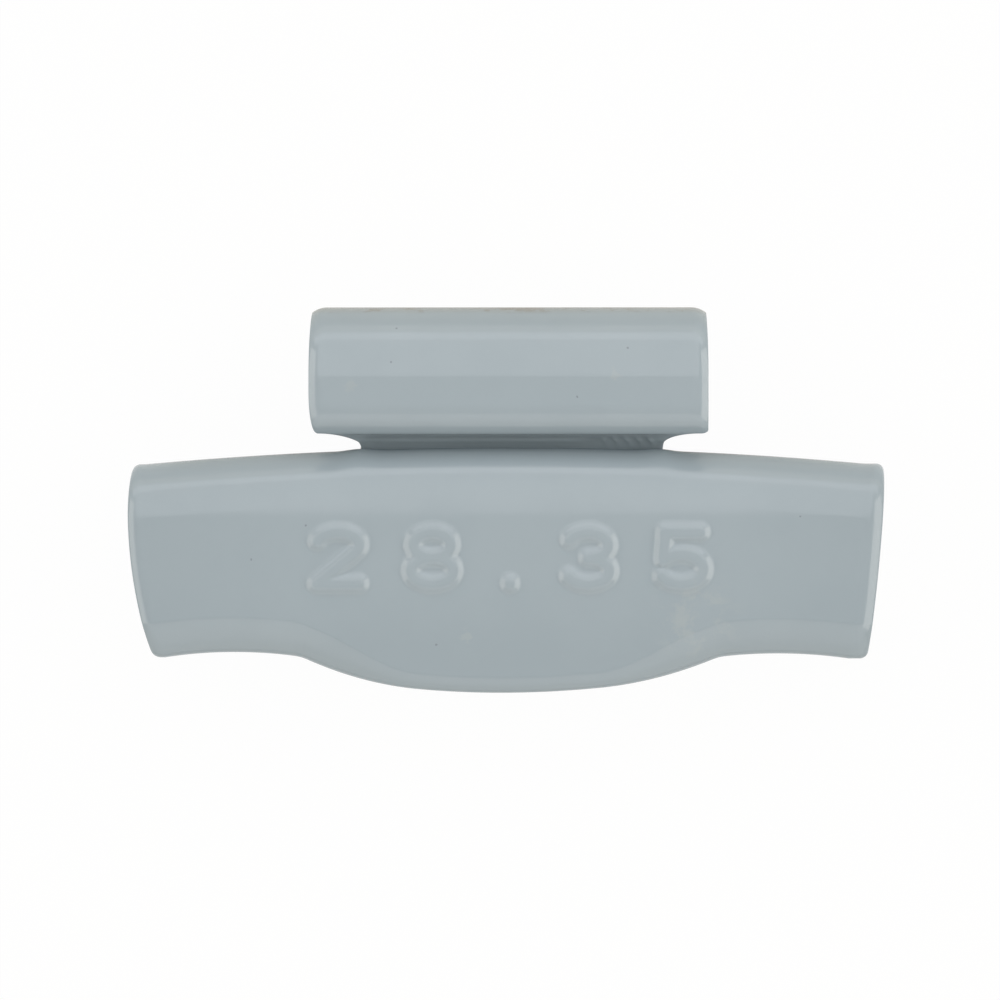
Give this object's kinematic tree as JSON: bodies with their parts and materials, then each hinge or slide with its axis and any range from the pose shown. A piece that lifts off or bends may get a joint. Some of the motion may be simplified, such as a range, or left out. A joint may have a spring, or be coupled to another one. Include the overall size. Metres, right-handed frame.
{
  "type": "wheel balance weight",
  "caption": "Clip-on wheel balance weight: a grey-coated steel bar that follows the rim, with a spring clip whose hook grips the lip of a steel wheel's flange.",
  "frame": {"origin": "centre of the box that holds the part, on the plane of the body's flat back, which it lies on", "axes": "+X along the rim, +Y away from the wheel's centre, towards the clip, +Z out of the front face, away from the wheel"},
  "size_m": [0.042, 0.0214, 0.0067],
  "materials": {
    "grey_coat": "semi-gloss grey coat"
  },
  "bodies": {
    "root": {"weight_body": "grey_coat", "rim_clip": "grey_coat"}
  },
  "joints": []
}
